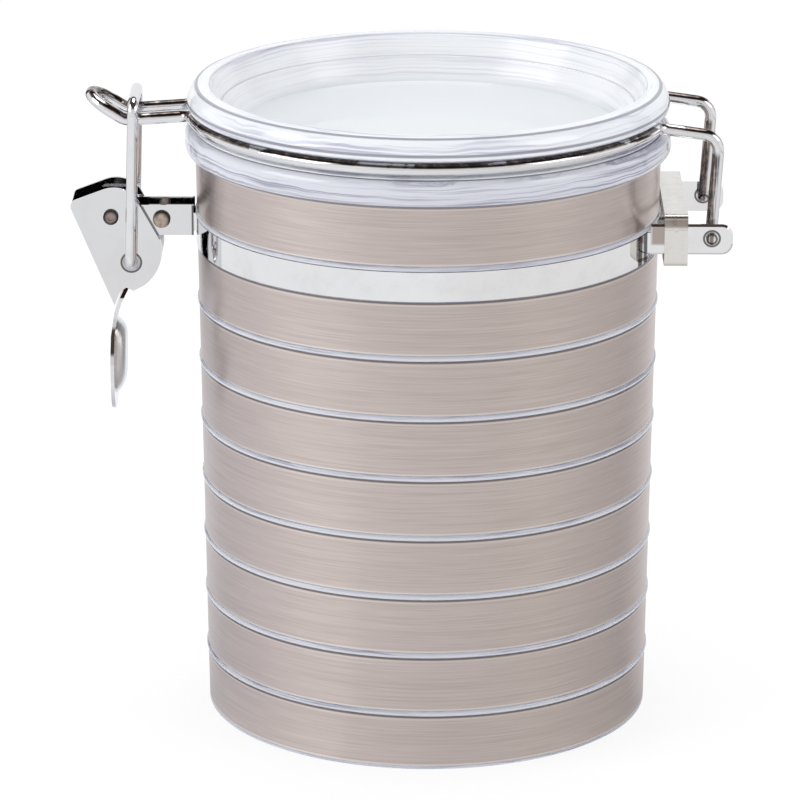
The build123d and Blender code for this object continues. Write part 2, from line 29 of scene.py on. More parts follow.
Colour = tuple[float, float, float, float]
Point = tuple[float, float, float]
Span = tuple[float, float]
Edge = tuple[float, float, float, float]
# a line of painted shade, by its two ends along X and height
ShadeLine = tuple[float, float, float, float]
Term: TypeAlias = "Signal | float"

WHITE: Colour = (1.0, 1.0, 1.0, 1.0)
FULL_CHANNEL = 255
NOISE_ROUGHNESS = 0.55
MIX_FIRST, MIX_SECOND, MIX_RESULT = 6, 7, 2


def paint(red: float, green: float, blue: float) -> Colour:
    """Turn a colour as the eye sees it into the linear colour that a socket takes, by the sRGB curve.

    Args:
        red: seen red, 0 to 255
        green: seen green, 0 to 255
        blue: seen blue, 0 to 255

    Returns:
        The linear colour with full alpha.
    """
    seen = [channel / FULL_CHANNEL for channel in (red, green, blue)]
    linear = [c / 12.92 if c <= 0.04045 else ((c + 0.055) / 1.055) ** 2.4 for c in seen]
    return (*linear, 1.0)


class Plating(Enum):
    """The polished platings, each with the fineness of its wipe marks and its colour."""

    BAND = ((60, 60, 1500), paint(237, 237, 238))
    LATCH = ((500, 120, 500), paint(226, 226, 227))
    WIRE = ((260, 260, 260), paint(234, 234, 236))

    def __init__(self, wipe: Point, tone: Colour) -> None:
        """Keep how fine the wipe marks are along each axis, and the colour."""
        self.wipe = wipe
        self.tone = tone


class Side(Enum):
    """The two ends of the canister along X."""

    HINGE = 1
    LATCH = -1


@dataclass(frozen=True)
class Signal:
    """A value that changes over a surface and takes part in plain arithmetic.

    Attributes:
        bench: the node bench that it was made on
        socket: the output socket that it comes from
    """

    bench: "NodeBench"
    socket: bpy.types.NodeSocket

    def __add__(self, other: Term) -> "Signal":
        """Sum of two values."""
        return self.bench.sum_up("ADD", self, other)

    __radd__ = __add__

    def __sub__(self, other: Term) -> "Signal":
        """This value less the other."""
        return self.bench.sum_up("SUBTRACT", self, other)

    def __rsub__(self, other: float) -> "Signal":
        """The other value less this one."""
        return self.bench.sum_up("SUBTRACT", other, self)

    def __mul__(self, other: Term) -> "Signal":
        """Product of two values."""
        return self.bench.sum_up("MULTIPLY", self, other)

    __rmul__ = __mul__

    def __truediv__(self, other: Term) -> "Signal":
        """This value over the other."""
        return self.bench.sum_up("DIVIDE", self, other)

    def rise(self, low: float, high: float) -> "Signal":
        """Ease from 0 to 1 as this value goes from low to high.

        Args:
            low: value at which the result is 0
            high: value at which the result is 1

        Returns:
            The eased value.
        """
        eased = self.bench.node(
            "ShaderNodeMapRange",
            {"interpolation_type": "SMOOTHSTEP"},
            {"Value": self, "From Min": low, "From Max": high},
        )
        return Signal(self.bench, eased.outputs["Result"])

    def fade(self, low: float, high: float) -> "Signal":
        """Ease from 1 to 0 as this value goes from low to high."""
        return 1 - self.rise(low, high)

    def between(self, low: float, high: float, soft: float) -> "Signal":
        """Mark where this value lies between two limits.

        Args:
            low: lower limit
            high: upper limit
            soft: half width over which the mark fades at each limit

        Returns:
            1 inside the limits and 0 outside.
        """
        return self.rise(low - soft, low + soft) * self.fade(high - soft, high + soft)

    def nearest(self, places: tuple[float, ...]) -> "Signal":
        """Distance from this value to the nearest of some places.

        Args:
            places: the places, as values of this kind

        Returns:
            The distance.
        """
        gaps = [self.bench.sum_up("ABSOLUTE", self - place) for place in places]
        least = gaps[0]
        for gap in gaps[1:]:
            least = self.bench.sum_up("MINIMUM", least, gap)
        return least


class NodeBench:
    """The node tree of one finish, and the ways in which nodes are added to it."""

    def __init__(self, owner: bpy.types.Material | bpy.types.World) -> None:
        """Clear the owner's node tree for a new finish.

        Args:
            owner: the material or the world
        """
        owner.use_nodes = True
        self.tree = owner.node_tree
        self.tree.nodes.clear()

    def node(self, kind: str, settings: dict | None = None, values: dict | None = None) -> bpy.types.Node:
        """Add one node.

        Args:
            kind: the node's type
            settings: its own settings, set first; "stops" are a ramp's places and colours
            values: numbers, colours, signals or sockets for its inputs, by name or number

        Returns:
            The new node.
        """
        made = self.tree.nodes.new(kind)
        for name, setting in (settings or {}).items():
            if name == "stops":
                self.set_stops(made, setting)
            else:
                setattr(made, name, setting)
        for key, value in (values or {}).items():
            if isinstance(value, Signal):
                self.tree.links.new(value.socket, made.inputs[key])
            elif isinstance(value, bpy.types.NodeSocket):
                self.tree.links.new(value, made.inputs[key])
            else:
                made.inputs[key].default_value = value
        return made

    def set_stops(self, ramp: bpy.types.Node, stops: tuple[tuple[float, Colour], ...]) -> None:
        """Give a ramp its stops.

        Args:
            ramp: the ramp's node
            stops: place from 0 to 1 and colour of each stop, in order
        """
        elements = ramp.color_ramp.elements
        while len(elements) < len(stops):
            elements.new(1.0)
        for element, (place, colour) in zip(elements, stops):
            element.position = place
            element.color = colour

    def sum_up(self, operation: str, *terms: Term) -> Signal:
        """Add a Math node for an operation on signals and numbers."""
        made = self.node("ShaderNodeMath", {"operation": operation}, dict(enumerate(terms)))
        return Signal(self, made.outputs[0])

    def place(self, centre: Point = (0.0, 0.0, 0.0), stretch: Point = (1.0, 1.0, 1.0)) -> Signal:
        """Place on the piece, in metres, moved to a centre and stretched.

        Args:
            centre: the point that becomes the origin
            stretch: how much finer the pattern runs along each axis

        Returns:
            The place as a vector.
        """
        seat = self.node("ShaderNodeTexCoord")
        shift = tuple(-c * s for c, s in zip(centre, stretch))
        values = {"Vector": seat.outputs["Object"], "Location": shift, "Scale": stretch}
        return Signal(self, self.node("ShaderNodeMapping", {}, values).outputs["Vector"])

    def axes(self, place: Signal) -> tuple[Signal, Signal, Signal]:
        """Split a vector into its three parts."""
        split = self.node("ShaderNodeSeparateXYZ", {}, {0: place})
        return tuple(Signal(self, split.outputs[i]) for i in range(3))

    def join(self, x: Term, y: Term, z: Term) -> Signal:
        """Make a vector of three parts."""
        return Signal(self, self.node("ShaderNodeCombineXYZ", {}, {0: x, 1: y, 2: z}).outputs[0])

    def radius(self, a: Signal, b: Signal) -> Signal:
        """Length of the diagonal over two distances."""
        return self.sum_up("SQRT", a * a + b * b)

    def heading(self, x: Signal, y: Signal) -> Signal:
        """Heading about the Z axis in radians, 0 to the front and growing towards +X."""
        return self.sum_up("ARCTAN2", x, y * -1.0)

    def noise(self, place: Signal, scale: float = 1.0, detail: float = 3.0) -> Signal:
        """Soft random pattern.

        Args:
            place: where on the piece
            scale: how many lumps to a unit of place
            detail: how many finer layers it has

        Returns:
            A value about 0.5, from 0 to 1.
        """
        values = {"Vector": place, "Scale": scale, "Detail": detail, "Roughness": NOISE_ROUGHNESS}
        return Signal(self, self.node("ShaderNodeTexNoise", {}, values).outputs[0])

    def blend(self, share: Term, first: "Signal | Colour", second: "Signal | Colour") -> Signal:
        """Mix two colours.

        Args:
            share: how much of the second colour
            first: colour where the share is 0
            second: colour where the share is 1

        Returns:
            The mixed colour.
        """
        values = {0: share, MIX_FIRST: first, MIX_SECOND: second}
        return Signal(self, self.node("ShaderNodeMix", {"data_type": "RGBA"}, values).outputs[MIX_RESULT])

    def bump(self, height: Signal, depth: float, strength: float) -> Signal:
        """Turn a height pattern into a surface normal.

        Args:
            height: the pattern
            depth: its real depth in metres
            strength: share of the effect

        Returns:
            The normal.
        """
        made = self.node("ShaderNodeBump", {}, {"Height": height, "Distance": depth, "Strength": strength})
        return Signal(self, made.outputs[0])

    def rays(self) -> tuple[Signal, Signal]:
        """Mark the rays that show what is behind the object, and those that mirror it.

        Returns:
            Above 0 for a camera or transmission ray, and 1 for a glossy ray.
        """
        path = self.node("ShaderNodeLightPath")
        seen = Signal(self, path.outputs["Is Camera Ray"]) + Signal(self, path.outputs["Is Transmission Ray"])
        return seen, Signal(self, path.outputs["Is Glossy Ray"])

    def either(self, first: bpy.types.Node, second: bpy.types.Node, share: Signal) -> bpy.types.Node:
        """Mix two shaders, with a share of the second."""
        return self.node("ShaderNodeMixShader", {}, {0: share, 1: first.outputs[0], 2: second.outputs[0]})

    def surface(self, values: dict) -> None:
        """Finish the tree with one surface shader that has these values."""
        shader = self.node("ShaderNodeBsdfPrincipled", {}, values)
        self.node("ShaderNodeOutputMaterial", {}, {"Surface": shader.outputs[0]})


class Finish(ABC):
    """A procedural finish, which is made into a material."""

    def make(self, name: str) -> bpy.types.Material:
        """Make the finish.

        Args:
            name: name of the material

        Returns:
            The material.
        """
        material = bpy.data.materials.new(name)
        self.lay(NodeBench(material))
        return material

    @abstractmethod
    def lay(self, bench: NodeBench) -> None:
        """Lay the finish's nodes on a bench."""


@dataclass(frozen=True)
class BrushedWrap(Finish):
    """Thin metal wrap, brushed round the cup, with highlights and shade painted along its edges, and a plain
    pale back.

    Attributes:
        spans: lowest and highest point of each wrap
        face: colour of the brushed face
        groove: colour at the bottom of the brush lines
        back: colour of the side that lies on the cup
        shade: colour of the line of shade along each wrap's top edge
        highlight: colour of the highlights painted along the edges
        hair: fineness of the fine brush lines along each axis
        fleck: fineness of the short ones
        sweep: fineness of the broad ones
        cloud: fineness of the clouds of tone
        depth: depth of the brush lines
        lower_highlight: distance from the lower edge over which the highlight painted there fades
        upper_highlight: distances from the top edge between which a highlight is painted too, and how softly
        shadow: distance from the top edge over which its line of shade fades
        skin: radii at the cup's base between which the back gives way to the face
        draft: how much those radii grow with height
    """

    spans: tuple[Span, ...]
    face: Colour = paint(212, 200, 195)
    groove: Colour = paint(190, 177, 172)
    back: Colour = paint(236, 236, 238)
    shade: Colour = paint(130, 121, 119)
    shine: Colour = paint(234, 228, 225)
    hair: Point = (22, 22, 7600)
    fleck: Point = (70, 70, 4200)
    sweep: Point = (5, 5, 900)
    cloud: Point = (10, 10, 16)
    depth: float = 0.00003
    lower_highlight: Span = (0.00036, 0.00063)
    upper_highlight: Point = (0.000585, 0.00099, 0.000135)
    shadow: Span = (0.00027, 0.000585)
    skin: Span = (0.05965, 0.05985)
    draft: float = 0.0153

    def lay(self, bench: NodeBench) -> None:
        """Lay the brushed face, the highlights and shade painted along its edges, and the back.

        Args:
            bench: takes the nodes
        """
        x, y, z = bench.axes(bench.place())
        hair = bench.noise(bench.place(stretch=self.hair), detail=2.0)
        fleck = bench.noise(bench.place(stretch=self.fleck), detail=1.0)
        sweep = bench.noise(bench.place(stretch=self.sweep), detail=2.0)
        cloud = bench.noise(bench.place(stretch=self.cloud), detail=2.0)
        lines = hair * 0.5 + fleck * 0.35 + sweep * 0.15
        upper = z.nearest(tuple(high for low, high in self.spans))
        lower = z.nearest(tuple(low for low, high in self.spans))
        depth = bench.radius(x, y) - z * self.draft
        behind = depth.fade(*self.skin)
        brushed = bench.blend(lines.rise(0.30, 0.66), self.groove, self.face)
        clouded = bench.blend(cloud.rise(0.3, 0.8) * 0.12, brushed, self.groove)
        # painted highlights along each wrap's lower and top edges, then painted shade under its top edge
        rubbed = bench.blend(lower.fade(*self.lower_highlight) * 0.7, clouded, self.shine)
        lit = bench.blend(upper.between(*self.upper_highlight) * 0.4, rubbed, self.shine)
        toned = bench.blend(upper.fade(*self.shadow), lit, self.shade)
        bench.surface(
            {
                "Base Color": bench.blend(behind, toned, self.back),
                "Metallic": 1 - behind,
                "Roughness": 0.24 + lines * 0.16 + behind * 0.3,
                "Anisotropic": 0.7,
                "Anisotropic Rotation": 0.25,
                "Normal": bench.bump(lines, self.depth, strength=0.25),
            }
        )


@dataclass(frozen=True)
class Patch:
    """A box of a plate that is darker, lighter or duller than the rest.

    Attributes:
        low: its corner with the lowest coordinates
        high: its corner with the highest coordinates
        colour: colour of the plate in it
        share: how strong that colour is
        dulling: roughness that it adds
        soft: half width over which it fades
    """

    low: Point
    high: Point
    colour: Colour
    share: float = 0.85
    dulling: float = 0.0
    soft: float = 0.0002

    def mask(self, bench: NodeBench) -> Signal:
        """Mark the patch on a piece.

        Args:
            bench: takes the nodes

        Returns:
            1 inside the patch and 0 outside.
        """
        marks = [
            axis.between(low, high, self.soft)
            for axis, low, high in zip(bench.axes(bench.place()), self.low, self.high)
        ]
        return marks[0] * marks[1] * marks[2]


@dataclass(frozen=True)
class PolishedPlate(Finish):
    """Polished plating with faint wipe marks, a little dulling, and painted shade round holes and along
    lines.

    Attributes:
        plating: which fittings it is on
        eyes: along X, height and radius of the painted shade round each hole's edge
        shade_lines: along X and height of both ends of each line of painted shade
        patches: parts of the plate that differ
        outline: half width of the holes' outlines
        shade_width: half width of the lines of painted shade
        painted_shade: colour of the painted shade round holes and along lines
        dull: colour where the plate is dulled
        haze: clouds of dulling to a metre
        pits: pits to a metre
        gloss: roughness of the clean plate
        mark_depth: depth of the wipe marks
    """

    plating: Plating
    eyes: tuple[Point, ...] = ()
    shade_lines: tuple[ShadeLine, ...] = ()
    patches: tuple[Patch, ...] = ()
    outline: float = 0.00028
    shade_width: float = 0.00019
    painted_shade: Colour = paint(46, 44, 46)
    dull: Colour = paint(210, 209, 210)
    haze: float = 160.0
    pits: float = 2400.0
    gloss: float = 0.035
    mark_depth: float = 0.00002

    def lay(self, bench: NodeBench) -> None:
        """Lay the plate with its wipe marks, its painted shade round holes and along lines, and its patches.

        Args:
            bench: takes the nodes
        """
        wipe = bench.noise(bench.place(stretch=self.plating.wipe))
        haze = bench.noise(bench.place(), self.haze, detail=4.0)
        pits = bench.noise(bench.place(), self.pits, detail=1.0).rise(0.70, 0.78)
        plate = bench.blend(haze.rise(0.42, 0.8) * 0.25 + pits * 0.25, self.plating.tone, self.dull)
        # painted shade round the edge of each hole
        for along, height, radius in self.eyes:
            x, _, z = bench.axes(bench.place(centre=(along, 0.0, height)))
            inner, outer = radius - self.outline, radius + self.outline
            edge = bench.radius(x, z).between(inner, outer, self.outline * 0.5)
            plate = bench.blend(edge * 0.85, plate, self.painted_shade)
        # painted shade along each line
        for x1, z1, x2, z2 in self.shade_lines:
            length = math.hypot(x2 - x1, z2 - z1)
            level, steep = (x2 - x1) / length, (z2 - z1) / length
            x, _, z = bench.axes(bench.place(centre=(x1, 0.0, z1)))
            run = (x * level + z * steep).between(0.0, length, self.outline)
            off = bench.sum_up("ABSOLUTE", x * steep - z * level)
            plate = bench.blend(run * off.fade(self.shade_width, self.shade_width * 2) * 0.95, plate, self.painted_shade)
        rough = wipe * 0.04 + haze.rise(0.5, 0.8) * 0.04 + self.gloss
        for patch in self.patches:
            mask = patch.mask(bench)
            plate = bench.blend(mask * patch.share, plate, patch.colour)
            rough = rough + mask * patch.dulling
        bench.surface(
            {
                "Base Color": plate,
                "Metallic": 1.0,
                "Roughness": rough,
                "Normal": bench.bump(wipe + haze * 0.5, self.mark_depth, strength=0.25),
            }
        )


@dataclass(frozen=True)
class PaintedReflectionWire(Finish):
    """Polished wire with painted brown reflection along its upper side and down its legs on the side towards
    the cup.

    Attributes:
        ring: radius and height of the wire's ring
        fall: how steeply the wire falls beyond the ring, towards each end
        nose: where along X the wire turns up again, and how steeply
        legs: along X and height of a leg's foot and of its top
        leg_level: depths below the ring between which a leg ends
        leg_start: where along X the legs' end of the wire starts
        top: heights over the wire's middle between which the painted reflection sets in
        arms: radii between which the wire leaves the ring
        arm_lift: how much lower the browning sets in on its arms
        tip: where along X, towards the latch, the painted reflection thins out
        flank: how far from a leg's middle, away from the cup, its painted reflection fades
        eye: along X and height of the wire's ends
        shade_rim: radii between which painted shade lies round them, and how softly
        streaks: fineness of the streaks along the legs
        mottle: spots to a metre
        dashes: breaks in the painted reflection to a metre
        clean: colour of the clean wire
        brown: colour of the painted reflection
        dark: colour of its darkest streaks and of the painted shade round the ends
        pitting: depth of the pits and streaks in the bump
    """

    ring: Span = (0.0606, 0.1652)
    fall: tuple[tuple[Side, float], ...] = ((Side.HINGE, 0.141), (Side.LATCH, 0.06))
    nose: Span = (0.0808, 0.68)
    legs: tuple[Span, Span] = ((0.0752, 0.1362), (0.0769, 0.1629))
    leg_level: Span = (-0.00576, -0.00352)
    leg_start: Span = (0.070, 0.072)
    top: Span = (0.000672, 0.001184)
    arms: Span = (0.0625, 0.0645)
    arm_lift: float = 0.000224
    tip: Span = (0.0848, 0.0898)
    flank: Span = (0.00016, 0.00072)
    eye: Span = (0.0752, 0.1362)
    shade_rim: Point = (0.000975, 0.00156, 0.00013)
    streaks: Point = (1500, 1500, 60)
    mottle: float = 420.0
    dashes: float = 120.0
    clean: Colour = paint(230, 230, 232)
    brown: Colour = paint(122, 106, 96)
    dark: Colour = paint(44, 36, 32)
    pitting: float = 0.00003

    def lay(self, bench: NodeBench) -> None:
        """Lay the clean wire, its painted brown reflection and the painted shade round its ends.

        Args:
            bench: takes the nodes
        """
        x, y, z = bench.axes(bench.place())
        level = self.above_middle(bench, x, z)
        (foot_x, foot_z), (top_x, top_z) = self.legs
        aside = x - ((z - foot_z) * ((top_x - foot_x) / (top_z - foot_z)) + foot_x)
        leg = level.fade(*self.leg_level) * x.rise(*self.leg_start)
        streak = bench.noise(bench.place(stretch=self.streaks), detail=2.0)
        mottle = bench.noise(bench.place(), self.mottle)
        dash = bench.noise(bench.place(), self.dashes, detail=0.0)
        tip = (x * Side.LATCH.value).rise(*self.tip)
        reflection_breaks = (mottle - dash.fade(0.34, 0.42) * 0.3 - tip * 0.12).rise(0.22, 0.42)
        arms = bench.radius(x, y).rise(*self.arms) * self.arm_lift
        # painted brown reflection along the wire's upper side and down its legs towards the cup
        upper = (level + arms).rise(*self.top) * (1 - leg) * reflection_breaks
        inner = aside.fade(*self.flank) * leg * streak.rise(0.28, 0.50)
        painted_reflection = bench.blend(mottle.rise(0.40, 0.62), self.brown, self.dark)
        # painted shade round the wire's ends
        rim_x, _, rim_z = bench.axes(bench.place(centre=(self.eye[0], 0.0, self.eye[1])))
        shade_rim = bench.radius(rim_x, rim_z).between(*self.shade_rim)
        with_reflection = bench.blend(upper * 0.92 + inner * 0.88, self.clean, painted_reflection)
        bench.surface(
            {
                "Base Color": bench.blend(shade_rim * 0.8, with_reflection, self.dark),
                "Metallic": 1.0,
                "Roughness": 0.05 + mottle * 0.06,
                "Normal": bench.bump(streak + mottle, self.pitting, strength=0.3),
            }
        )

    def above_middle(self, bench: NodeBench, x: Signal, z: Signal) -> Signal:
        """Height over the middle of the wire, along its whole run.

        Args:
            bench: takes the nodes
            x: place along X
            z: height

        Returns:
            The height over the wire's middle, below 0 under it.
        """
        radius, height = self.ring
        level = z - height
        for side, slope in self.fall:
            level = level + bench.sum_up("MAXIMUM", x * side.value - radius, 0.0) * slope
        turn, steepness = self.nose
        return level - bench.sum_up("MAXIMUM", x * Side.LATCH.value - turn, 0.0) * steepness


@dataclass(frozen=True)
class Dish:
    """The inside of the lid's dish.

    Attributes:
        wall: radii of its dull wall, and how softly that starts
        wall_dulling: roughness that the wall adds
        inside: radii between which the pale inside ends
        pale: colour of that inside
        floor_end: radii between which the flat floor ends
        floor: colour of that floor
    """

    wall: Point = (0.0515, 0.0578, 0.0007)
    wall_dulling: float = 0.16
    inside: Span = (0.0570, 0.0585)
    pale: Colour = paint(248, 249, 251)
    floor_end: Span = (0.0505, 0.0530)
    floor: Colour = paint(222, 227, 230)

    def fill(self, out: Signal, smear: Signal, moulded: Signal) -> Signal:
        """Make the inside paler and its floor plain.

        Args:
            out: distance from the axis
            smear: the plastic's smears
            moulded: its colour

        Returns:
            The changed colour.
        """
        paler = out.bench.blend(out.fade(*self.inside) * 0.6, moulded, self.pale)
        floor = out.fade(*self.floor_end) * (0.85 + smear * 0.1)
        return out.bench.blend(floor, paler, self.floor)


@dataclass(frozen=True)
class ClearMoulding(Finish):
    """Clear moulded plastic, a little milky, with grey lines painted in for refraction and thin lines of
    painted shade.

    Attributes:
        pale: colour of the plastic
        ring: colour of the grey lines painted in for refraction
        line: colour of the thin lines of painted shade along edges
        strength: strength of the grey lines painted in for refraction
        clearness: share of the light that goes through
        dish: the dish in it, if it has one
        edges: radius, height, half width and strength of each edge along which a thin line of painted shade
            is drawn
        spans: lowest and highest point of each wrap that lies on it
        bead_line: distance from a wrap's lower edge over which a grey line of painted shade fades
        wrap_line: distance from a wrap's top edge over which a dark line of painted shade fades
        glint: distances from a wrap's top edge between which a glint lies, and how softly
        lines: how fine the lines are, in lines to a metre
        run: how much the radius and the height count across the lines
        ripple: ripples of the lines to a metre
        sway: how many lines a ripple takes in
        broad: changes of the broad lines to a metre, round the moulding
        fine: changes of the fine lines to a metre, and how much closer they lie
        breaks: breaks in the lines to a metre, round and up
        flow: fineness of the moulding's waves
        smear: smears to a metre
        depth: depth of the lines
    """

    pale: Colour
    ring: Colour
    line: Colour
    strength: float
    clearness: float
    dish: Dish | None = None
    edges: tuple[Edge, ...] = ()
    spans: tuple[Span, ...] = ()
    bead_line: Span = (0.00025, 0.0011)
    wrap_line: Span = (0.00015, 0.0004)
    glint: Point = (0.00045, 0.00085, 0.0001)
    lines: float = 900.0
    run: Span = (0.8, 1.3)
    ripple: float = 55.0
    sway: float = 2.6
    broad: float = 9.0
    fine: Span = (30.0, 1.9)
    breaks: Span = (26.0, 60.0)
    flow: Point = (24, 24, 260)
    smear: float = 70.0
    depth: float = 0.00004

    def lay(self, bench: NodeBench) -> None:
        """Lay the plastic, its grey lines painted in for refraction and the thin lines of painted shade along
        its edges.

        Args:
            bench: takes the nodes
        """
        x, y, z = bench.axes(bench.place())
        out = bench.radius(x, y)
        ripple = bench.noise(bench.place(), self.ripple, detail=2.0)
        along = (out * self.run[0] + z * self.run[1]) * self.lines + ripple * self.sway
        turned = bench.noise(bench.join(x * self.broad, y * self.broad, along), detail=2.0)
        drawn = bench.noise(bench.join(x * self.fine[0], y * self.fine[0], along * self.fine[1]))
        flow = bench.noise(bench.place(stretch=self.flow), detail=2.0)
        smear = bench.noise(bench.place(), self.smear)
        # grey lines painted in for the refraction in clear plastic
        grey = (turned * 0.5 + drawn * 0.5).rise(0.47, 0.62)
        round_it, up_it = self.breaks
        shown = bench.noise(bench.join(x * round_it, y * round_it, z * up_it), detail=2.0)
        broken = shown.rise(0.36, 0.60) * 0.6 + 0.4
        moulded = bench.blend(grey * broken * self.strength, self.pale, self.ring)
        dull = smear.rise(0.45, 0.8) * 0.05
        if self.dish:
            dull = dull + out.between(*self.dish.wall) * self.dish.wall_dulling
            moulded = self.dish.fill(out, smear, moulded)
        if self.spans:
            moulded = self.trim_beads(bench, z, moulded)
        # thin lines of painted shade along the edges
        for radius, height, half, strength in self.edges:
            away = bench.radius(out - radius, z - height)
            moulded = bench.blend(away.fade(half * 0.5, half) * strength, moulded, self.line)
        bench.surface(
            {
                "Base Color": moulded,
                "Roughness": 0.03 + dull,
                "IOR": 1.49,
                "Transmission Weight": self.clearness,
                "Normal": bench.bump(turned * 0.6 + flow * 0.8, self.depth, strength=0.5),
            }
        )

    def trim_beads(self, bench: NodeBench, z: Signal, moulded: Signal) -> Signal:
        """Draw the thin lines of painted shade and the glint that lie along the wraps' edges.

        Args:
            bench: takes the nodes
            z: height
            moulded: colour of the plastic

        Returns:
            The changed colour.
        """
        over = z.nearest(tuple(high for low, high in self.spans))
        under = z.nearest(tuple(low for low, high in self.spans))
        # painted shade along the wraps' edges, then a painted glint
        beaded = bench.blend(under.fade(*self.bead_line) * 0.35, moulded, self.line)
        creased = bench.blend(over.fade(*self.wrap_line) * 0.7, beaded, self.line)
        return bench.blend(over.between(*self.glint), creased, self.pale)


@dataclass(frozen=True)
class SoftSeal(Finish):
    """Soft translucent seal with a dusty sheen.

    Attributes:
        colour: colour of the seal
        dusty: colour where dust lies
        grain: grains to a metre
        depth: depth of the grain
    """

    colour: Colour = paint(232, 234, 236)
    dusty: Colour = paint(214, 216, 218)
    grain: float = 900.0
    depth: float = 0.00003

    def lay(self, bench: NodeBench) -> None:
        """Lay the seal and its dust.

        Args:
            bench: takes the nodes
        """
        grain = bench.noise(bench.place(), self.grain)
        bench.surface(
            {
                "Base Color": bench.blend(grain.rise(0.3, 0.8) * 0.3, self.colour, self.dusty),
                "Roughness": 0.42 + grain * 0.2,
                "Transmission Weight": 0.35,
                "Normal": bench.bump(grain, self.depth, strength=0.4),
            }
        )


@dataclass(frozen=True)
class TurnedRivet(Finish):
    """Bare rivet with turned rings, small stains, and painted shade round the edge of its head.

    Attributes:
        centre: middle of the rivet in side view
        head: radius of its head
        shade_rim: radius from which painted shade darkens the head
        lean: height over the middle about which the painted shade sets in, so that it is darker towards the
            top
        bright: colour of the rubbed metal
        stained: colour of the stains
        dark: colour of the painted shade
        rings: turned rings to a metre
        stains: stains to a metre
        depth: depth of the rings
    """

    centre: Point
    head: float
    shade_rim: float
    lean: float = 0.0
    bright: Colour = paint(192, 176, 162)
    stained: Colour = paint(156, 140, 128)
    dark: Colour = paint(52, 46, 44)
    rings: float = 3600
    stains: float = 900.0
    depth: float = 0.00008

    def lay(self, bench: NodeBench) -> None:
        """Lay the turned head, its stains and the painted shade round the edge of its head.

        Args:
            bench: takes the nodes
        """
        x, _, z = bench.axes(bench.place(centre=self.centre))
        out = bench.radius(x, z)
        rings = bench.noise(bench.join(out * self.rings, 0.0, 0.0), detail=1.0)
        stain = bench.noise(bench.place(centre=self.centre), self.stains)
        face = bench.blend(stain.rise(0.4, 0.72), self.bright, self.stained)
        # painted shade round the edge of the head, on its upper side
        lean = (x * 0.6 + z).rise(self.lean - self.head, self.lean + self.head * 0.5)
        shade = out.rise(self.shade_rim, self.head * 0.92) * lean
        bench.surface(
            {
                "Base Color": bench.blend(shade, face, self.dark),
                "Metallic": 1.0,
                "Roughness": 0.24 + stain * 0.25,
                "Normal": bench.bump(rings * 0.6 + stain * 0.5, self.depth, strength=0.5),
            }
        )


@dataclass(frozen=True)
class SatinStrap(Finish):
    """Satin plated strap with fine draw lines and painted brown reflection along its bent corner.

    Attributes:
        top: height of the strap's top
        corner: heights over the top between which the painted reflection along the bend lies, and how softly
        colour: colour of the clean strap
        rubbed: colour where it is rubbed
        bend_reflection: colour of the painted reflection along the bent corner
        draw: fineness of the draw lines
        wear: rubbed spots to a metre
        depth: depth of the draw lines
    """

    top: float
    corner: Point = (-0.0034, -0.0010, 0.0006)
    colour: Colour = paint(234, 232, 228)
    rubbed: Colour = paint(214, 207, 201)
    bend_reflection: Colour = paint(128, 112, 100)
    draw: Point = (2600, 60, 60)
    wear: float = 420.0
    depth: float = 0.00002

    def lay(self, bench: NodeBench) -> None:
        """Lay the satin strap, its wear and the painted reflection along its bent corner.

        Args:
            bench: takes the nodes
        """
        _, _, z = bench.axes(bench.place(centre=(0.0, 0.0, self.top)))
        draw = bench.noise(bench.place(stretch=self.draw), detail=2.0)
        wear = bench.noise(bench.place(), self.wear)
        satin = bench.blend(wear.rise(0.42, 0.8) * 0.25 + draw * 0.25, self.colour, self.rubbed)
        # painted brown reflection along the strap's bent corner
        corner = z.between(*self.corner) * (0.55 + wear * 0.5)
        bench.surface(
            {
                "Base Color": bench.blend(corner, satin, self.bend_reflection),
                "Metallic": 1.0,
                "Roughness": 0.17 + wear * 0.12,
                "Anisotropic": 0.4,
                "Normal": bench.bump(draw + wear * 0.1, self.depth, strength=0.2),
            }
        )


def heights(node: str) -> Span:
    """Lowest and highest point of a node of the frame.

    Args:
        node: name of the node

    Returns:
        Both heights at rest, in metres.
    """
    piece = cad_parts[node]
    levels = [(piece.matrix_world @ vertex.co).z for vertex in piece.data.vertices]
    return min(levels), max(levels)


def dress(node: str, finish: bpy.types.Material) -> None:
    """Give a node of the frame a finish.

    Args:
        node: name of the node
        finish: the material
    """
    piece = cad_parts[node]
    piece.data.materials.clear()
    piece.data.materials.append(finish)
    log.info("%s dressed with %s", node, finish.name)


@dataclass
class Cup:
    """The clear cup and its metal wraps.

    Attributes:
        wraps: how many wraps it carries
        collar: radius, height, half width and strength of the line of painted shade under the collar
    """

    wraps: int = 9
    collar: Edge = (0.0643, 0.1554, 0.0008, 0.9)

    def dress(self) -> None:
        """Dress the cup and each wrap."""
        wraps = [f"wrap_{number}" for number in range(1, self.wraps + 1)]
        spans = tuple(heights(wrap) for wrap in wraps)
        clear = ClearMoulding(
            pale=paint(228, 230, 238), ring=paint(156, 156, 178), line=paint(118, 120, 136),
            strength=0.9, clearness=0.28, edges=(self.collar,), spans=spans,
        )
        dress("canister_body", clear.make("cup_clear"))
        brushed = BrushedWrap(spans).make("wrap_brushed")
        for wrap in wraps:
            dress(wrap, brushed)


